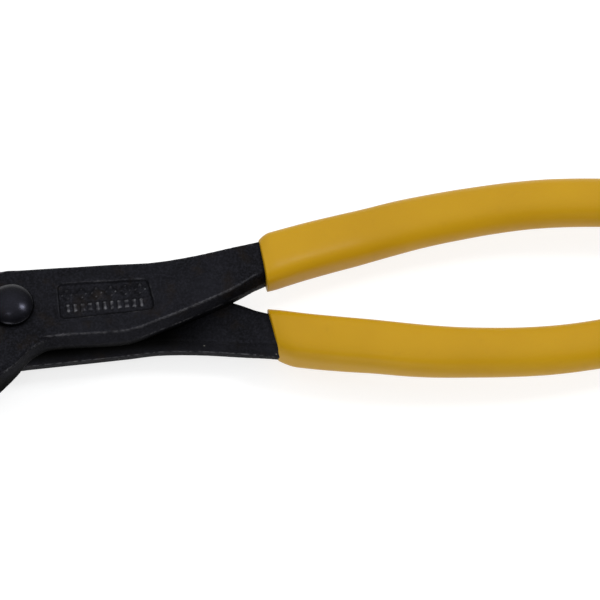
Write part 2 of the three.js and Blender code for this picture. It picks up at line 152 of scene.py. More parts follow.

# %% [markdown]
# ## Blackened forged steel
#
# The levers are drop-forged medium-carbon steel. They are tumbled, and then blackened in a hot
# salt bath, which turns the surface itself into satin magnetite. Magnetite conducts, so the
# shader is a metal with an almost black colour, a little blue. Its pitted skin swallows light
# that grazes it, which the specular tint stands for. The skin rubs through first on the edges
# and on the trimmed parting line, where bare steel shows as a thin broken bright line. The
# forging skin is finely pebbled, and handling leaves hairline scratches and pale specks. Two
# attributes that are measured on the mesh later drive the wear: "worn_edge" is high on convex
# edges, and "parting" on the parting line. A third, high in the crevice along the joint, paints
# shade there: it darkens the steel where the other lever shades it. The rivet is the same steel,
# headed cold and smoother, so the recipe is a function with the skin's colours, roughness,
# pebbles and grazing reflection as its values.

# %% Blackened steel
def blackened_steel(name, dark, light, smoothest, roughest, pebble_depth, grazing):
    material, tree, shader, place = new_material(name)
    worn_edge = add_node(tree, "ShaderNodeAttribute", "Fac", attribute_name="worn_edge")
    parting = add_node(tree, "ShaderNodeAttribute", "Fac", attribute_name="parting")
    joint_shade = add_node(tree, "ShaderNodeAttribute", "Fac", attribute_name="joint_shade")

    # The salt bath leaves the skin a little uneven over centimetres, and the peaks of the
    # forging's pebbles are rubbed a little lighter than its pits. Pebbles of 0.5 mm are drawn, a
    # little coarser than shot leaves them.
    broad = add_node(tree, "ShaderNodeTexNoise", "Fac", {
        "Vector": place, "Scale": per_mm(14), "Detail": 4.0})
    fine = add_node(tree, "ShaderNodeTexNoise", "Fac", {
        "Vector": place, "Scale": per_mm(1.6), "Detail": 5.0})
    pebbles = add_node(tree, "ShaderNodeTexNoise", "Fac", {
        "Vector": place, "Scale": per_mm(0.5), "Detail": 3.0, "Roughness": 0.6})
    amount = add_node(tree, "ShaderNodeMapRange", "Result", {
        "Value": broad, "From Min": 0.35, "From Max": 0.7, "To Max": 0.6})
    skin = add_node(tree, "ShaderNodeMix", "Result", {
        "Factor": amount, "A": linear(dark), "B": linear(light)}, data_type="RGBA")
    amount = add_node(tree, "ShaderNodeMapRange", "Result", {
        "Value": pebbles, "From Min": 0.42, "From Max": 0.66, "To Max": 0.75})
    skin = add_node(tree, "ShaderNodeMix", "Result", {
        "Factor": amount, "A": skin, "B": linear(light)}, data_type="RGBA")

    # A brownish film of oil and rust stays in patches.
    patches = add_node(tree, "ShaderNodeTexNoise", "Fac", {
        "Vector": place, "Scale": per_mm(5), "Detail": 3.0})
    amount = add_node(tree, "ShaderNodeMapRange", "Result", {
        "Value": patches, "From Min": 0.56, "From Max": 0.74, "To Max": 0.5})
    skin = add_node(tree, "ShaderNodeMix", "Result", {
        "Factor": amount, "A": skin, "B": linear("221C15")}, data_type="RGBA")

    # Hairline scratches: a stretched pattern, drawn only where it crosses one chosen value.
    stretched = add_node(tree, "ShaderNodeMapping", "Vector", {
        "Vector": place, "Rotation": (0, 0, 0.5), "Scale": (0.12, 1.6, 1.0)})
    waves = add_node(tree, "ShaderNodeTexNoise", "Fac", {
        "Vector": stretched, "Scale": per_mm(2.4), "Detail": 2.0, "Roughness": 0.4})
    off_value = add_node(tree, "ShaderNodeMath", "Value", {0: waves, 1: 0.56},
                         operation="SUBTRACT")
    off_value = add_node(tree, "ShaderNodeMath", "Value", {0: off_value}, operation="ABSOLUTE")
    hairs = add_node(tree, "ShaderNodeMapRange", "Result", {
        "Value": off_value, "From Min": 0.0, "From Max": 0.006, "To Min": 1.0, "To Max": 0.0})
    gaps = add_node(tree, "ShaderNodeMapRange", "Result", {
        "Value": fine, "From Min": 0.5, "From Max": 0.65})
    scratches = add_node(tree, "ShaderNodeMath", "Value", {0: hairs, 1: gaps}, operation="MULTIPLY")
    amount = add_node(tree, "ShaderNodeMath", "Value", {0: scratches, 1: 0.3}, operation="MULTIPLY")
    skin = add_node(tree, "ShaderNodeMix", "Result", {
        "Factor": amount, "A": skin, "B": linear("3A3A40")}, data_type="RGBA")

    # Pale specks: one in a few cells of a coarse pattern has a small dot.
    cells = {"Vector": place, "Scale": per_mm(3.4)}
    to_dot = add_node(tree, "ShaderNodeTexVoronoi", "Distance", cells)
    dots = add_node(tree, "ShaderNodeMapRange", "Result", {
        "Value": to_dot, "From Min": 0.04, "From Max": 0.08, "To Min": 1.0, "To Max": 0.0})
    cell_colour = add_node(tree, "ShaderNodeTexVoronoi", "Color", cells)
    lot = add_node(tree, "ShaderNodeSeparateColor", "Red", {"Color": cell_colour})
    drawn = add_node(tree, "ShaderNodeMapRange", "Result", {
        "Value": lot, "From Min": 0.78, "From Max": 0.82, "To Max": 0.6})
    specks = add_node(tree, "ShaderNodeMath", "Value", {0: dots, 1: drawn}, operation="MULTIPLY")
    skin = add_node(tree, "ShaderNodeMix", "Result", {
        "Factor": specks, "A": skin, "B": linear("8A8880")}, data_type="RGBA")

    # Bare steel along the worn edges and the trimmed parting line, broken up by the skin.
    breaks = add_node(tree, "ShaderNodeTexNoise", "Fac", {
        "Vector": place, "Scale": per_mm(1.3), "Detail": 4.0, "Roughness": 0.6})
    edge_breaks = add_node(tree, "ShaderNodeMapRange", "Result", {
        "Value": breaks, "From Min": 0.36, "From Max": 0.6, "To Min": 0.12})
    line_breaks = add_node(tree, "ShaderNodeMapRange", "Result", {
        "Value": breaks, "From Min": 0.42, "From Max": 0.62, "To Max": 0.55})
    edge = add_node(tree, "ShaderNodeMath", "Value", {0: worn_edge, 1: edge_breaks},
                    operation="MULTIPLY")
    line = add_node(tree, "ShaderNodeMath", "Value", {0: parting, 1: line_breaks},
                    operation="MULTIPLY")
    bare = add_node(tree, "ShaderNodeMath", "Value", {0: edge, 1: line}, operation="MAXIMUM")
    colour = add_node(tree, "ShaderNodeMix", "Result", {
        "Factor": bare, "A": skin, "B": linear("77767A")}, data_type="RGBA")

    # Painted shade: the steel along the joint, where the other lever shades it, is darkened to near black.
    colour = add_node(tree, "ShaderNodeMix", "Result", {
        "Factor": joint_shade, "A": colour, "B": linear("060606")}, data_type="RGBA")
    tree.links.new(colour, shader["Base Color"])

    roughness = add_node(tree, "ShaderNodeMapRange", "Result", {
        "Value": fine, "From Min": 0.3, "From Max": 0.7, "To Min": smoothest, "To Max": roughest})
    tree.links.new(roughness, shader["Roughness"])
    shader["Metallic"].default_value = 1.0
    shader["Specular Tint"].default_value = (grazing, grazing, grazing, 1)

    # The relief: low swells, the pebbles on them, and the scratches.
    swells = add_node(tree, "ShaderNodeTexNoise", "Fac", {
        "Vector": place, "Scale": per_mm(3.5), "Detail": 2.0})
    relief = add_node(tree, "ShaderNodeBump", "Normal", {
        "Height": swells, "Distance": 0.05 * MM, "Strength": 1.0})
    relief = add_node(tree, "ShaderNodeBump", "Normal", {
        "Height": pebbles, "Distance": pebble_depth * MM, "Strength": 1.0, "Normal": relief})
    relief = add_node(tree, "ShaderNodeBump", "Normal", {
        "Height": scratches, "Distance": -0.008 * MM, "Strength": 1.0, "Normal": relief})
    tree.links.new(relief, shader["Normal"])
    return material


forged_steel = blackened_steel("blackened_forged_steel", "131315", "232328", 0.5, 0.64, 0.06, 0.55)
rivet_steel = blackened_steel("blackened_headed_steel", "1A1A1E", "202026", 0.22, 0.27, 0.004, 1.0)
print("materials:", forged_steel.name, rivet_steel.name)

# %% [markdown]
# ## Dipped plastisol
#
# The handles are heated and dipped in liquid PVC, which gels into a soft, even skin. It is a
# semi-gloss: the surface levels itself, so highlights are soft but unbroken, with a very slight
# waviness and no grain. The pigment is opaque, so scattering under the surface only softens the
# shading. Plasticiser at the surface keeps its reflection weaker than hard plastic's. Dust and
# handling dull it in patches, which shows as small changes of roughness.

# %% Dipped plastisol
def dipped_plastisol():
    material, tree, shader, place = new_material("dipped_plastisol")
    clouds = add_node(tree, "ShaderNodeTexNoise", "Fac", {
        "Vector": place, "Scale": per_mm(22), "Detail": 3.0})
    amount = add_node(tree, "ShaderNodeMapRange", "Result", {
        "Value": clouds, "From Min": 0.3, "From Max": 0.7})
    colour = add_node(tree, "ShaderNodeMix", "Result", {
        "Factor": amount, "A": linear("AF8409"), "B": linear("B58A0B")}, data_type="RGBA")
    grime = add_node(tree, "ShaderNodeTexNoise", "Fac", {
        "Vector": place, "Scale": per_mm(4), "Detail": 5.0, "Roughness": 0.65})
    amount = add_node(tree, "ShaderNodeMapRange", "Result", {
        "Value": grime, "From Min": 0.6, "From Max": 0.8, "To Max": 0.14})
    colour = add_node(tree, "ShaderNodeMix", "Result", {
        "Factor": amount, "A": colour, "B": linear("8A6412")}, data_type="RGBA")
    tree.links.new(colour, shader["Base Color"])

    handled = add_node(tree, "ShaderNodeTexNoise", "Fac", {
        "Vector": place, "Scale": per_mm(9), "Detail": 4.0})
    roughness = add_node(tree, "ShaderNodeMapRange", "Result", {
        "Value": handled, "From Min": 0.3, "From Max": 0.7, "To Min": 0.34, "To Max": 0.41})
    tree.links.new(roughness, shader["Roughness"])
    shader["Specular IOR Level"].default_value = 0.16
    shader["Subsurface Weight"].default_value = 0.06
    shader["Subsurface Radius"].default_value = (1.0, 0.55, 0.15)
    shader["Subsurface Scale"].default_value = 0.6 * MM

    waves = add_node(tree, "ShaderNodeTexNoise", "Fac", {
        "Vector": place, "Scale": per_mm(7), "Detail": 2.0})
    relief = add_node(tree, "ShaderNodeBump", "Normal", {
        "Height": waves, "Distance": 0.09 * MM, "Strength": 1.0})
    dust = add_node(tree, "ShaderNodeTexNoise", "Fac", {
        "Vector": place, "Scale": per_mm(0.8), "Detail": 2.0})
    relief = add_node(tree, "ShaderNodeBump", "Normal", {
        "Height": dust, "Distance": 0.004 * MM, "Strength": 1.0, "Normal": relief})
    tree.links.new(relief, shader["Normal"])
    return material


plastisol = dipped_plastisol()
print("material:", plastisol.name)

# %% [markdown]
# ## Moulded rubber
#
# The pads are black nitrile rubber from a mould with an eroded face: matt, with a fine even
# grain, and chalky where their edges have slid along sheets of glass.

# %% Moulded rubber
def moulded_rubber():
    material, tree, shader, place = new_material("moulded_nitrile_rubber")
    dust = add_node(tree, "ShaderNodeTexNoise", "Fac", {
        "Vector": place, "Scale": per_mm(3), "Detail": 4.0})
    amount = add_node(tree, "ShaderNodeMapRange", "Result", {
        "Value": dust, "From Min": 0.5, "From Max": 0.75, "To Max": 0.5})
    colour = add_node(tree, "ShaderNodeMix", "Result", {
        "Factor": amount, "A": linear("121212"), "B": linear("232221")}, data_type="RGBA")
    worn_edge = add_node(tree, "ShaderNodeAttribute", "Fac", attribute_name="worn_edge")
    amount = add_node(tree, "ShaderNodeMath", "Value", {0: worn_edge, 1: 0.3}, operation="MULTIPLY")
    colour = add_node(tree, "ShaderNodeMix", "Result", {
        "Factor": amount, "A": colour, "B": linear("3E3C39")}, data_type="RGBA")
    tree.links.new(colour, shader["Base Color"])
    polish = add_node(tree, "ShaderNodeTexNoise", "Fac", {
        "Vector": place, "Scale": per_mm(1.2), "Detail": 3.0})
    roughness = add_node(tree, "ShaderNodeMapRange", "Result", {
        "Value": polish, "From Min": 0.3, "From Max": 0.7, "To Min": 0.62, "To Max": 0.78})
    tree.links.new(roughness, shader["Roughness"])
    shader["Specular IOR Level"].default_value = 0.3
    grain = add_node(tree, "ShaderNodeTexNoise", "Fac", {
        "Vector": place, "Scale": per_mm(0.4), "Detail": 3.0})
    relief = add_node(tree, "ShaderNodeBump", "Normal", {
        "Height": grain, "Distance": 0.03 * MM, "Strength": 1.0})
    tree.links.new(relief, shader["Normal"])
    return material


rubber = moulded_rubber()
print("material:", rubber.name)

# %% [markdown]
# ## Zinc plate and nylon
#
# The screw and its nut are turned from free-cutting steel and zinc-plated, which leaves a bright,
# faintly blue metal with fine turning lines. The tip is turned nylon, cream and waxy. Turning
# lines run round the screw, so their pattern changes only along its axis.

# %% Zinc plate and nylon
def turning_lines(tree, place, spacing, depth):
    along = add_node(tree, "ShaderNodeMapping", "Vector", {
        "Vector": place, "Scale": (0.02, 1.0, 0.02)})
    lines = add_node(tree, "ShaderNodeTexNoise", "Fac", {
        "Vector": along, "Scale": per_mm(spacing), "Detail": 2.0})
    return add_node(tree, "ShaderNodeBump", "Normal", {
        "Height": lines, "Distance": depth * MM, "Strength": 1.0})


def zinc_plate():
    material, tree, shader, place = new_material("zinc_plated_steel")
    clouds = add_node(tree, "ShaderNodeTexNoise", "Fac", {
        "Vector": place, "Scale": per_mm(2.5), "Detail": 4.0})
    amount = add_node(tree, "ShaderNodeMapRange", "Result", {
        "Value": clouds, "From Min": 0.35, "From Max": 0.7})
    colour = add_node(tree, "ShaderNodeMix", "Result", {
        "Factor": amount, "A": linear("A9ACB0"), "B": linear("8E9093")}, data_type="RGBA")
    tree.links.new(colour, shader["Base Color"])
    roughness = add_node(tree, "ShaderNodeMapRange", "Result", {
        "Value": clouds, "From Min": 0.3, "From Max": 0.7, "To Min": 0.24, "To Max": 0.38})
    tree.links.new(roughness, shader["Roughness"])
    shader["Metallic"].default_value = 1.0
    tree.links.new(turning_lines(tree, place, 0.18, 0.006), shader["Normal"])
    return material


def turned_nylon():
    material, tree, shader, place = new_material("turned_nylon")
    clouds = add_node(tree, "ShaderNodeTexNoise", "Fac", {
        "Vector": place, "Scale": per_mm(2), "Detail": 3.0})
    amount = add_node(tree, "ShaderNodeMapRange", "Result", {
        "Value": clouds, "From Min": 0.35, "From Max": 0.7})
    colour = add_node(tree, "ShaderNodeMix", "Result", {
        "Factor": amount, "A": linear("CFC9B8"), "B": linear("BFB7A3")}, data_type="RGBA")
    tree.links.new(colour, shader["Base Color"])
    shader["Roughness"].default_value = 0.42
    shader["Subsurface Weight"].default_value = 0.2
    shader["Subsurface Scale"].default_value = 0.8 * MM
    tree.links.new(turning_lines(tree, place, 0.25, 0.012), shader["Normal"])
    return material


zinc = zinc_plate()
nylon = turned_nylon()
print("materials:", zinc.name, nylon.name)

# %% [markdown]
# ## Helpers for meshes
#
# Most pieces here are rings of points, one after the other, with faces between them. One
# function joins such rings into a closed skin. Another one hands the finished piece over: it
# takes the place of its CAD node, rides on the same body and names its material slot.

# %% Mesh helpers
bodies = frame["record"]["behaviour"]["bodies"]
weld_distance = 0.001
easing_passes = 4
easing_shares = (0.5, -0.52)  # of the way to the neighbours' middle, there and back


def hand_over(name, mesh, material, node):
    """Makes the piece that stands for a CAD node."""
    piece = bpy.data.objects.new(name, mesh)
    bpy.context.scene.collection.objects.link(piece)
    mesh.materials.clear()
    mesh.materials.append(material)
    mesh.polygons.foreach_set("use_smooth", [True] * len(mesh.polygons))
    body = next(b for b, nodes in bodies.items() if node in nodes)
    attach(piece, body)
    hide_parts(node)
    print(f"{name}: {len(mesh.polygons)} faces, on {body}")


def skin(rings, joined=False):
    """Mesh from rings of points of equal length. A fan closes each end, or the last ring is
    joined to the first."""
    rings = np.asarray(rings, float)
    rows, count = rings.shape[:2]
    points = rings.reshape(-1, 3)
    faces = []
    for row in range(rows if joined else rows - 1):
        here, there = row * count, (row + 1) % rows * count
        for i in range(count):
            j = (i + 1) % count
            faces.append((here + i, here + j, there + j, there + i))
    open_ends = () if joined else ((0, -1), (rows - 1, 1))
    for row, turn in open_ends:
        middle = len(points)
        points = np.vstack([points, rings[row].mean(axis=0)])
        edge = [row * count + i for i in range(count)][::turn]
        faces += [(edge[i], edge[(i + 1) % count], middle) for i in range(count)]
    mesh = bpy.data.meshes.new("skin")
    mesh.from_pydata(points.tolist(), [], faces)
    mesh.validate()
    return mesh


def points_of(mesh):
    """The vertices' places in metres, one row each."""
    flat = np.empty(len(mesh.vertices) * 3, np.float32)
    mesh.vertices.foreach_get("co", flat)
    return flat.reshape(-1, 3).astype(float)


def edges_of(mesh):
    """The two vertices of each edge, one row each."""
    flat = np.empty(len(mesh.edges) * 2, np.int32)
    mesh.edges.foreach_get("vertices", flat)
    return flat.reshape(-1, 2)


def store(mesh, name, values):
    """A number at each vertex, for the material to read."""
    attribute = mesh.attributes.new(name, "FLOAT", "POINT")
    attribute.data.foreach_set("value", np.clip(values, 0, 1).astype(np.float32))


def neighbour_mean(values, edges, degree):
    """For each vertex, the mean of its neighbours' rows of values."""
    total = np.zeros_like(values)
    for column in range(values.shape[1]):
        total[:, column] = (
            np.bincount(edges[:, 0], values[edges[:, 1], column], len(values))
            + np.bincount(edges[:, 1], values[edges[:, 0], column], len(values))
        )
    return total / degree[:, None]


def sharpness(mesh, edges, degree):
    """How convex the surface is at each vertex, in 1/mm: 1 is an edge of 1 mm radius."""
    points = points_of(mesh)
    flat = np.empty(len(points) * 3, np.float32)
    mesh.vertex_normals.foreach_get("vector", flat)
    normals = flat.reshape(-1, 3)
    step = points[edges[:, 1]] - points[edges[:, 0]]
    length2 = np.maximum((step ** 2).sum(axis=1), 1e-14)
    at_first = -(normals[edges[:, 0]] * step).sum(axis=1) / length2
    at_second = (normals[edges[:, 1]] * step).sum(axis=1) / length2
    total = np.bincount(edges[:, 0], at_first, len(points))
    total += np.bincount(edges[:, 1], at_second, len(points))
    curved = (2 * total / degree * MM)[:, None]
    return neighbour_mean(curved, edges, degree)[:, 0]


def ease_edges(node, voxel):
    """A copy of a CAD node's skin with even small faces and rounded edges, its own edges, and how
    many of them meet at each vertex."""
    copy = bpy.data.objects.new("easing", frame["nodes"][node].data.copy())
    bpy.context.scene.collection.objects.link(copy)
    weld = copy.modifiers.new("weld", "WELD")
    weld.merge_threshold = weld_distance * MM
    remesh = copy.modifiers.new("remesh", "REMESH")
    remesh.mode = "VOXEL"
    remesh.voxel_size = voxel * MM
    settled = copy.evaluated_get(bpy.context.evaluated_depsgraph_get())
    mesh = bpy.data.meshes.new_from_object(settled)
    bpy.data.objects.remove(copy)
    points, edges = points_of(mesh), edges_of(mesh)
    degree = np.bincount(edges.ravel(), minlength=len(points)).astype(float)
    # Each pass moves points towards their neighbours' middle and most of the way back, which
    # rounds edges without shrinking the piece.
    for _ in range(easing_passes):
        for share in easing_shares:
            points += share * (neighbour_mean(points, edges, degree) - points)
    mesh.vertices.foreach_set("co", points.astype(np.float32).ravel())
    mesh.update()
    return mesh, edges, degree


print("mesh helpers ready")

# %% [markdown]
# ## The two levers
#
# A drop forging has no sharp corner anywhere: metal is squeezed into rounded dies, trimmed round
# its parting line and tumbled. Bevels on a solid cut by so many others would break, so each
# lever's skin is rebuilt from small even faces and eased, which rounds every edge alike. Then
# three measures of the new skin are stored for the steel's finish: how convex it is, which is
# where the black wears off, how near it lies to the parting line, and how deep it lies in the
# crevice beside the joint's plane, where painted shade darkens the steel. The edges next to that
# plane are covered by the other lever, so they keep their black. Lengths are in millimetres, and
# along the tool they are counted from the rivet.

# %% Levers
lever_thickness = 7.5
joint_gap = 0.1
lever_voxel = 0.336
edge_starts_wearing = 0.5  # 1/mm
edge_fully_worn = 1.3
head_end = -12.0
covered_height = 1.0  # above the joint's plane
covered_wear = 0.1
panel_middle = 22.5
panel_half = (12.5, 6.0)
panel_wear = 0.5  # its edges are sunk, so they rub less
marks_half = (10.2, 3.7)
marks_offset = 0.3
mark_wear = 1.5  # the small marks in it stand nearly level with the face
face_height = 5.0  # what lies higher above the joint's plane belongs to the face
parting_width = 0.25
parting_start = -6.0
parting_convexity = 0.15  # 1/mm, so the line stays off hollow places
front_parting_start = 26.0  # the front lever's line is rubbed away beside the rivet
# The painted shade along the joint: how far it reaches from the joint's plane, how dark its deepest part is, and
# where it ends.
joint_shade_depth = 3.2
joint_shade_fill = 1.3  # over 1, so the deepest part is all painted shade
joint_shade_end = 50.0  # where the levers part
fade_length = 14.0


def forged_lever(name, node, side):
    """side is 1 for the lever above the joint's plane, and -1 for the one below it."""
    mesh, edges, degree = ease_edges(node, lever_voxel)
    convex = sharpness(mesh, edges, degree)
    worn = (convex - edge_starts_wearing) / (edge_fully_worn - edge_starts_wearing)
    x, y, z = points_of(mesh).T / MM
    along, across = x - pivot.x / MM, y - pivot.y / MM
    off_joint = side * (z - pivot.z / MM)
    behind_head = along > head_end
    worn[(off_joint < covered_height) & behind_head] *= covered_wear
    off_panel = np.abs(along - panel_middle)
    on_face = off_joint > face_height
    at_panel = (off_panel < panel_half[0]) & (np.abs(across) < panel_half[1]) & on_face
    at_marks = (off_panel < marks_half[0]) & (np.abs(across - marks_offset) < marks_half[1])
    worn[at_panel] *= np.where(at_marks[at_panel], mark_wear, panel_wear)
    off_middle = (off_joint - (joint_gap + lever_thickness) / 2) / parting_width
    parting = np.exp(-off_middle ** 2) * (along > parting_start)
    parting *= convex > parting_convexity
    if side > 0:
        parting *= np.clip((along - front_parting_start) / fade_length, 0, 1)
    # Painted shade: darkest next to the joint's plane, fading with distance from it and towards where the levers
    # part.
    joint_shade = np.clip(joint_shade_fill - off_joint / joint_shade_depth, 0, 1)
    joint_shade *= behind_head * np.clip((joint_shade_end - along) / fade_length, 0, 1)
    store(mesh, "worn_edge", worn)
    store(mesh, "parting", parting)
    store(mesh, "joint_shade", joint_shade)
    print(name, "convexity, upper percentiles:", np.percentile(convex, (50, 90, 98)).round(2))
    hand_over(name, mesh, forged_steel, node)


forged_lever("front_lever_forging", "front_lever", 1)
forged_lever("rear_lever_forging", "rear_lever", -1)

# %% [markdown]
# ## The rivet
#
# The rivet is headed cold in a cup-shaped tool: a low cap of a sphere on a short straight rim. It
# is smoother than the forgings, so the light draws a clear highlight on it. Its other end is
# spread into a countersink, which leaves a shallow hammered face. A turned outline with small
# radii at its corners does both, a few slow dents keep the hand-set look, and the rim is a little
# worn.

# %% Rivet
def round_piece(profile, centre, count, axis="Z"):
    """Rings of a skin turned round an axis through centre. profile holds (radius, height) pairs
    in millimetres, with heights counted from the frame's origin. Each can be a function of the
    angles instead."""
    angles = np.arange(count) * 2 * math.pi / count
    rings = []
    for radius, height in profile:
        reach = (radius(angles) if callable(radius) else np.full(count, radius)) * MM
        rise = (height(angles) if callable(height) else np.full(count, height)) * MM
        across, down = reach * np.cos(angles), reach * np.sin(angles)
        if axis == "Z":
            rings.append(np.stack([centre.x + across, centre.y + down, rise], axis=1))
        else:
            rings.append(np.stack([centre.x + across, rise, centre.z - down], axis=1))
    return rings


def turned_outwards(mesh):
    """The mesh with its faces' fronts outside."""
    mesh.calc_loop_triangles()
    corners = np.empty(len(mesh.loop_triangles) * 3, np.int32)
    mesh.loop_triangles.foreach_get("vertices", corners)
    a, b, c = points_of(mesh)[corners.reshape(-1, 3)].transpose(1, 0, 2)
    if (np.cross(a, b) * c).sum() < 0:
        mesh.flip_normals()
    return mesh


low, high = (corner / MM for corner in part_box("pivot_rivet"))
head_radius = (high.x - low.x) / 2
head_height = 3.5
rim_height = 1.2
shank_radius = 3.5
tail_radius = 5.2
dent_size = 4.5
dent_depth = 0.07
rim_wear = 0.12
wear_above_rim = 0.1
wear_half_width = 0.3
head_under = high.z - head_height
rim_top = head_under + rim_height
rim_angle = 2 * math.atan2(head_height - rim_height, head_radius)
sphere_radius = head_radius / math.sin(rim_angle)
dome = [
    (sphere_radius * math.sin(a), high.z - sphere_radius * (1 - math.cos(a)))
    for a in np.linspace(rim_angle - 0.05, 0.04, 26)
]
rivet_outline = [
    (0.4, low.z + 0.12), (2.2, low.z + 0.1), (3.6, low.z), (tail_radius - 0.7, low.z + 0.04),
    (tail_radius - 0.3, low.z + 0.18), (tail_radius - 0.05, low.z + 0.4),
    (shank_radius, low.z + 2.3), (shank_radius, head_under),
    (head_radius - 0.35, head_under), (head_radius - 0.1, head_under + 0.06),
    (head_radius, head_under + 0.2), (head_radius, rim_top - 0.3),
    (head_radius - 0.06, rim_top), *dome,
]
rivet_mesh = turned_outwards(skin(round_piece(rivet_outline, pivot, 128)))
points = points_of(rivet_mesh)
normals = np.array([v.normal for v in rivet_mesh.vertices])
dents = np.array([noise.noise(Vector(p) * per_mm(dent_size)) for p in points])
points += normals * dents[:, None] * dent_depth * MM
rivet_mesh.vertices.foreach_set("co", points.astype(np.float32).ravel())
rivet_mesh.update()
off_rim = (points[:, 2] / MM - rim_top - wear_above_rim) / wear_half_width
store(rivet_mesh, "worn_edge", rim_wear * np.exp(-off_rim ** 2))
hand_over("domed_rivet", rivet_mesh, rivet_steel, "pivot_rivet")

# %% [markdown]
# ## The dipped grips
#
# The dip coats the handle like a thick skin. It fills the forging's corners, so the grip's section
# is a soft rectangle at the mouth. It turns rounder along the handle, as the forging does, and
# its closed end is round. Towards the mouth the coating thins to a lip, because the liquid drains
# down the hot steel before it gels, and it drains most on the outer side. The line of the lip
# leans, because the tool hung slightly askew over the bath, and it leans more on the lower
# handle. The handle's curve is read from the frame: the CAD grip is sliced across, and the
# slices' middles and half sizes, smoothed, guide new rings.

# %% Grips
lean_fade = 25.0
lip_thickness = 0.8
lip_radius = 0.3
full_thickness = 1.75
drained_share = (0.55, 0.45)  # at the grip's sides, and what the outer side adds
swell_share = 0.012
swell_length = 9.0
end_length = 8.0
end_roundness = 2.5
bore_end = 5.0  # before the grip's end
squareness = (3.2, 2.25)  # at the mouth and far from it: 2 is an ellipse, more is squarer
squareness_fade = 45.0
ring_points = 112
ring_spacing = 0.5
slice_margins = (3.5, 0.8)  # the lip and the round end aren't measured
smoothing_reach = 6  # slices
slope_run = 8  # slices over which the slope at an end is measured


def slices(node, stations):
    """Middle and half size across Y and Z of a CAD node's slices, one row for each station."""
    mesh = frame["nodes"][node].data
    points, edges = points_of(mesh) / MM, edges_of(mesh)
    first, second = points[edges[:, 0]], points[edges[:, 1]]
    rows = []
    for x in stations:
        crossing = (first[:, 0] - x) * (second[:, 0] - x) < 0
        a, b = first[crossing], second[crossing]
        share = ((x - a[:, 0]) / (b[:, 0] - a[:, 0]))[:, None]
        cut = (a + (b - a) * share)[:, 1:]
        lowest, highest = cut.min(axis=0), cut.max(axis=0)
        rows.append([*(lowest + highest) / 2, *(highest - lowest) / 2])
    return np.array(rows)


def smooth_rows(rows, reach):
    """Rows averaged with their neighbours, with the ends carried on straight."""
    before = rows[0] + (rows[0] - rows[reach]) * np.arange(reach, 0, -1)[:, None] / reach
    after = rows[-1] + (rows[-1] - rows[-1 - reach]) * np.arange(1, reach + 1)[:, None] / reach
    padded = np.vstack([before, rows, after])
    weights = np.hanning(2 * reach + 3)[1:-1]
    weights /= weights.sum()
    return np.stack([np.convolve(column, weights, "valid") for column in padded.T], axis=1)


def section(beyond):
    """Points round a soft rectangle of half size 1, for a ring that far beyond the mouth."""
    a = np.arange(ring_points) * 2 * math.pi / ring_points
    power = 2 / np.interp(beyond, (0, squareness_fade), squareness)
    return np.stack([
        np.sign(np.cos(a)) * np.abs(np.cos(a)) ** power,
        np.sign(np.sin(a)) * np.abs(np.sin(a)) ** power,
    ], axis=1)


def dipped_grip(name, node, outer, lean, inset, lip_length):
    """outer is the grip's outer side along Y, 1 or -1, lean is the slope of the lip across the
    tool, inset is the lip's distance from the CAD mouth, and over lip_length the coating
    reaches its full thickness."""
    low, high = (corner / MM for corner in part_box(node))
    mouth = low.x + inset
    end_start = high.x - end_length
    stations = np.arange(mouth + slice_margins[0], end_start - slice_margins[1], ring_spacing)
    lines = smooth_rows(slices(node, stations), smoothing_reach)
    drained = drained_share[0] + drained_share[1] * outer * section(0)[:, 0]
    rings = []

    def line_at(x):
        """Middle and half size at x, carried on straight past the measured stretch."""
        inside = np.clip(x, stations[0], stations[-1])
        row = np.array([np.interp(inside, stations, column) for column in lines.T])
        if x < stations[0]:
            rise = lines[slope_run] - lines[0]
        else:
            rise = lines[-1] - lines[-1 - slope_run]
        carried = (x - inside) * rise / (slope_run * ring_spacing)
        carried[2:] = 0
        return row + carried

    def ring(x, shrink, scale=1.0):
        """One ring at x, shrink millimetres inside the grip's full surface."""
        around = section(x - mouth)
        middle_y, middle_z, half_y, half_z = line_at(x)
        swell = 1 + swell_share * noise.noise(Vector((x / swell_length, lean * 70, 0)))
        across = around[:, 0] * (half_y - shrink) * scale * swell
        z = middle_z + around[:, 1] * (half_z - shrink) * scale
        fade = max(0.0, 1 - (x - mouth) / lean_fade)
        rings.append(np.stack([x - lean * fade * across, middle_y + across, z], axis=1) * MM)

    # Inside, from the handle's end to the mouth, then round the lip and back outside.
    for x in np.linspace(high.x - bore_end, mouth + ring_spacing, 40):
        ring(x, full_thickness)
    thinned = (full_thickness - lip_thickness) * drained
    for share in (0.0, 0.35, 0.7, 0.9, 1.0):
        back = lip_radius * (1 - math.sqrt(1 - 0.99 * share ** 2))
        ring(mouth + back, full_thickness * (1 - share) + thinned * share)
    for x in np.arange(mouth + ring_spacing, end_start, ring_spacing):
        ring(x, thinned * max(0.0, 1 - (x - mouth - lip_radius) / lip_length) ** 2)
    for turn in np.linspace(0.05, math.pi / 2 - 0.02, 22):
        over = math.sin(turn)
        scale = (1 - over ** end_roundness) ** (1 / end_roundness)
        ring(end_start + end_length * over, 0, scale)
    hand_over(name, turned_outwards(skin(rings)), plastisol, node)


dipped_grip("upper_dipped_grip", "upper_grip", 1, 0.09, 0.45, 2.6)
dipped_grip("lower_dipped_grip", "lower_grip", -1, 0.15, 0.1, 4.5)

# %% [markdown]
# ## The jaw pads
#
# Each pad is a rubber channel that slides over the jaw from the side, so that it can be renewed.
# The upper one is hollow across its width and the lower one crowned: the sheet rests on two edges
# above and on one ridge below, and bends over the score. Moulded rubber has small even radii, so
# the pads are eased as the levers are, with finer faces.

# %% Jaw pads
pad_voxel = 0.24
pad_starts_wearing = 0.8  # 1/mm
pad_fully_worn = 2.4


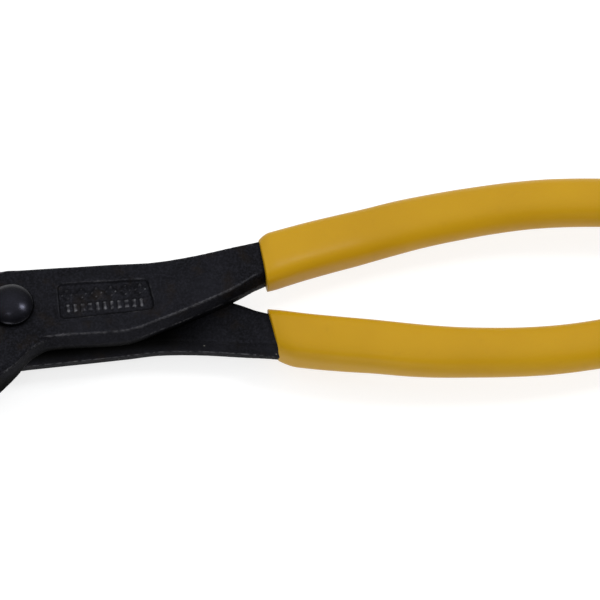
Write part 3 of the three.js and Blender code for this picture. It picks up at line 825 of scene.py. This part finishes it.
def jaw_pad(name, node):
    mesh, edges, degree = ease_edges(node, pad_voxel)
    convex = sharpness(mesh, edges, degree)
    worn = (convex - pad_starts_wearing) / (pad_fully_worn - pad_starts_wearing)
    store(mesh, "worn_edge", worn)
    hand_over(name, mesh, rubber, node)


jaw_pad("upper_rubber_pad", "upper_jaw_pad")
jaw_pad("lower_rubber_pad", "lower_jaw_pad")

# %% [markdown]
# ## The adjusting screw
#
# An M6 thumb screw: a knurled head, a 1 mm pitch thread and a turned-down stem that carries the
# nylon tip. The thread is a real right-hand helix, cut into the radius as a function of height
# and angle, and the knurl is cut in the same way with straight teeth that fade at both ends.

# %% Adjusting screw
screw_radius = 3.0
pitch = 1.0
thread_depth = 0.6
lead_in_length = 0.6
stem_radius = 1.7
stem_length = 2.6
head_length = 6.0
knurl_teeth = 36
knurl_depth = 0.42

low, high = (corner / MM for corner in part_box("adjusting_screw"))
thread_start = low.y + stem_length
head_start = high.y - head_length
knob_radius = (high.x - low.x) / 2


def thread_at(height, cap):
    """The thread's radius at one height, no larger than cap."""
    def radius(angles):
        turn = (height / pitch - angles / (2 * math.pi)) % 1
        valley = np.clip(1.2 * (1 - np.abs(2 * turn - 1)) - 0.1, 0, 1)
        return np.minimum(screw_radius - thread_depth * valley, cap)
    return radius


def knurl_at(top, depth):
    """The knob's radius, with teeth of one depth cut into it."""
    def radius(angles):
        tooth = np.abs(((angles * knurl_teeth / (2 * math.pi)) % 1) * 2 - 1)
        return top - depth * tooth
    return radius


screw_outline = [(0.2, low.y), (stem_radius - 0.2, low.y), (stem_radius, low.y + 0.2)]
screw_outline += [(stem_radius, thread_start), (screw_radius - 0.65, thread_start)]
for height in np.arange(thread_start + 0.1, head_start - 0.9, 0.1):
    led_in = min(1.0, (height - thread_start) / lead_in_length)
    cap = screw_radius - thread_depth * (1 - led_in)
    screw_outline.append((thread_at(height, cap), height))
neck = screw_radius - thread_depth
screw_outline += [(neck, head_start - 0.8), (neck, head_start - 0.2), (neck + 0.2, head_start)]
knob_shoulder = ((0.9, 0, 0), (0.55, 0.15, 0.2), (0.2, 0.45, 0.7), (0, 0.75, 1))
for inset, rise, share in knob_shoulder:
    screw_outline.append((knurl_at(knob_radius - inset, knurl_depth * share), head_start + rise))
for height in np.linspace(0.9, head_length - 0.9, 9):
    screw_outline.append((knurl_at(knob_radius, knurl_depth), head_start + height))
for inset, drop, share in reversed(knob_shoulder):
    screw_outline.append((knurl_at(knob_radius - inset, knurl_depth * share), high.y - drop))
# A shallow dish in the knob's top.
for inset, drop in ((1.6, 0.0), (1.9, 0.08), (2.2, 0.4), (2.6, 0.5), (4.5, 0.52), (6.8, 0.5)):
    screw_outline.append((knob_radius - inset, high.y - drop))
screw_mesh = turned_outwards(skin(round_piece(screw_outline, screw_axis, knurl_teeth * 4, "Y")))
screw_mesh.set_sharp_from_angle(angle=math.radians(42))
hand_over("thumb_screw", screw_mesh, zinc, "adjusting_screw")

# %% [markdown]
# ## The lock nut and the tip
#
# The nut is a plain hexagon with its corners turned off at 30 degrees. In rings, that is a
# circle on each face, and a hexagonal ring between them that drops where the corners reach out.
# The tip is turned from nylon rod, with a small groove and a rounded landing face.

# %% Lock nut and tip
low, high = (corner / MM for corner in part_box("lock_nut"))
half_flats = (high.z - low.z) / 2
chamfer_circle = half_flats * 0.97
clearance = 0.08
bore = screw_radius + clearance


def hexagon(inset):
    """The nut's radius at each angle, less an inset."""
    def radius(angles):
        from_flat = (angles % (math.pi / 3)) - math.pi / 6
        return half_flats / np.cos(from_flat) - inset
    return radius


def corner_drop(face, sign):
    """The height of the turned-off corners' edge at each angle."""
    def height(angles):
        return face + sign * (hexagon(0)(angles) - chamfer_circle) * math.tan(math.radians(30))
    return height


nut_outline = [
    (bore, low.y + 0.45), (bore + 0.4, low.y), (chamfer_circle, low.y),
    (hexagon(0.06), corner_drop(low.y, 1)),
    (hexagon(0), corner_drop(low.y + 0.08, 1)), (hexagon(0), corner_drop(high.y - 0.08, -1)),
    (hexagon(0.06), corner_drop(high.y, -1)), (chamfer_circle, high.y),
    (bore + 0.4, high.y), (bore, high.y - 0.45),
]
nut_mesh = turned_outwards(skin(round_piece(nut_outline, screw_axis, 144, "Y"), joined=True))
nut_mesh.set_sharp_from_angle(angle=math.radians(20))
hand_over("hexagon_lock_nut", nut_mesh, zinc, "lock_nut")

low, high = (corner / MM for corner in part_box("screw_tip"))
tip_radius = (high.x - low.x) / 2
tip_bore = stem_radius + clearance
tip_bore_depth = 2.6
landing_edge = 0.9
groove_radius = tip_radius - 0.18
tip_outline = [(0.3, low.y + 0.05), (1.8, low.y), (tip_radius - landing_edge, low.y)]
tip_outline += [
    (tip_radius - landing_edge * (1 - math.sin(a)), low.y + landing_edge * (1 - math.cos(a)))
    for a in np.linspace(0.2, math.pi / 2, 7)
]
tip_outline += [
    (tip_radius, low.y + 2.0), (groove_radius, low.y + 2.15), (groove_radius, low.y + 2.45),
    (tip_radius, low.y + 2.6), (tip_radius, high.y - 0.35), (tip_radius - 0.35, high.y),
    (tip_bore + 0.2, high.y), (tip_bore, high.y - 0.2), (tip_bore, high.y - tip_bore_depth),
    (0.2, high.y - tip_bore_depth - clearance),
]
tip_mesh = turned_outwards(skin(round_piece(tip_outline, screw_axis, 72, "Y")))
tip_mesh.set_sharp_from_angle(angle=math.radians(38))
hand_over("nylon_tip", tip_mesh, nylon, "screw_tip")

# %% [markdown]
# ## Floor and light
#
# The tool lies on a light table: a sheet of opal acrylic that glows from below, so that shadows
# on it are faint. The room is a soft box: bright overhead and at the back, and darker towards the
# front, which shades the near sides of the tool and keeps the black steel black. A window-like
# light stands to the right, half way up: it draws the streak on the upper grip and the highlight
# on the rivet. A small lamp high at the front gives the rivet its second glint, and a broad weak
# light low at the front left reaches the levers' near sides. All stand far from the tool, so
# a camera that looks down on it sees none of them.

# %% Floor
table, tree, shader, place = new_material("opal_acrylic")
clouds = add_node(tree, "ShaderNodeTexNoise", "Fac", {
    "Vector": place, "Scale": per_mm(30), "Detail": 3.0})
colour = add_node(tree, "ShaderNodeMix", "Result", {
    "Factor": clouds, "A": linear("9B9B9B"), "B": linear("9E9E9E")}, data_type="RGBA")
tree.links.new(colour, shader["Base Color"])
shader["Roughness"].default_value = 0.9
shader["Specular IOR Level"].default_value = 0.1
shader["Emission Color"].default_value = (1, 1, 1, 1)
shader["Emission Strength"].default_value = 0.76

floor_reach = 3.0
floor_mesh = bpy.data.meshes.new("floor")
floor_mesh.from_pydata(
    [(sx * floor_reach, sy * floor_reach, cad_box[0].z) for sx, sy in
     ((-1, -1), (1, -1), (1, 1), (-1, 1))], [], [(0, 1, 2, 3)],
)
floor_mesh.materials.append(table)
floor = bpy.data.objects.new("floor", floor_mesh)
bpy.context.scene.collection.objects.link(floor)
print("floor at z =", round(cad_box[0].z / MM, 2), "mm")

# %% Lights
world = bpy.data.worlds.new("soft_box")
world.use_nodes = True
tree = world.node_tree
direction = add_node(tree, "ShaderNodeTexCoord", "Generated")
towards_back = add_node(tree, "ShaderNodeVectorMath", "Value", {
    0: direction, 1: (0.0, 0.36, 0.93)}, operation="DOT_PRODUCT")
glow = add_node(tree, "ShaderNodeMapRange", "Result", {
    "Value": towards_back, "From Min": 0.3, "From Max": 1.0, "To Min": 0.2, "To Max": 1.57})
background = tree.nodes["Background"].inputs
background["Color"].default_value = (0.98, 0.99, 1, 1)
tree.links.new(glow, background["Strength"])
bpy.context.scene.world = world
bpy.context.scene.view_settings.view_transform = "Standard"


light_distance = 6.0  # m


def soft_light(name, direction, width, height, radiance, colour=(1, 1, 1)):
    """A rectangular light that faces the tool. radiance is how bright its face looks."""
    made = bpy.data.lights.new(name, "AREA")
    made.shape = "RECTANGLE"
    made.size, made.size_y = width, height
    made.energy = radiance * math.pi * width * height
    made.color = colour
    lamp = bpy.data.objects.new(name, made)
    towards = Vector(direction).normalized()
    lamp.location = aim + towards * light_distance
    lamp.rotation_mode = "QUATERNION"
    lamp.rotation_quaternion = (-towards).to_track_quat("-Z", "Y")
    bpy.context.scene.collection.objects.link(lamp)
    print(f"{name}: {made.energy:.2f} W")


soft_light("window", (0.65, 0.05, 0.755), 1.0, 1.5, 28.0, (0.96, 0.98, 1.0))
soft_light("lamp", (-0.23, -0.39, 0.89), 0.3, 0.3, 50.0)
soft_light("front_left", (-0.3, -0.9, 0.22), 2.6, 2.2, 3.2)
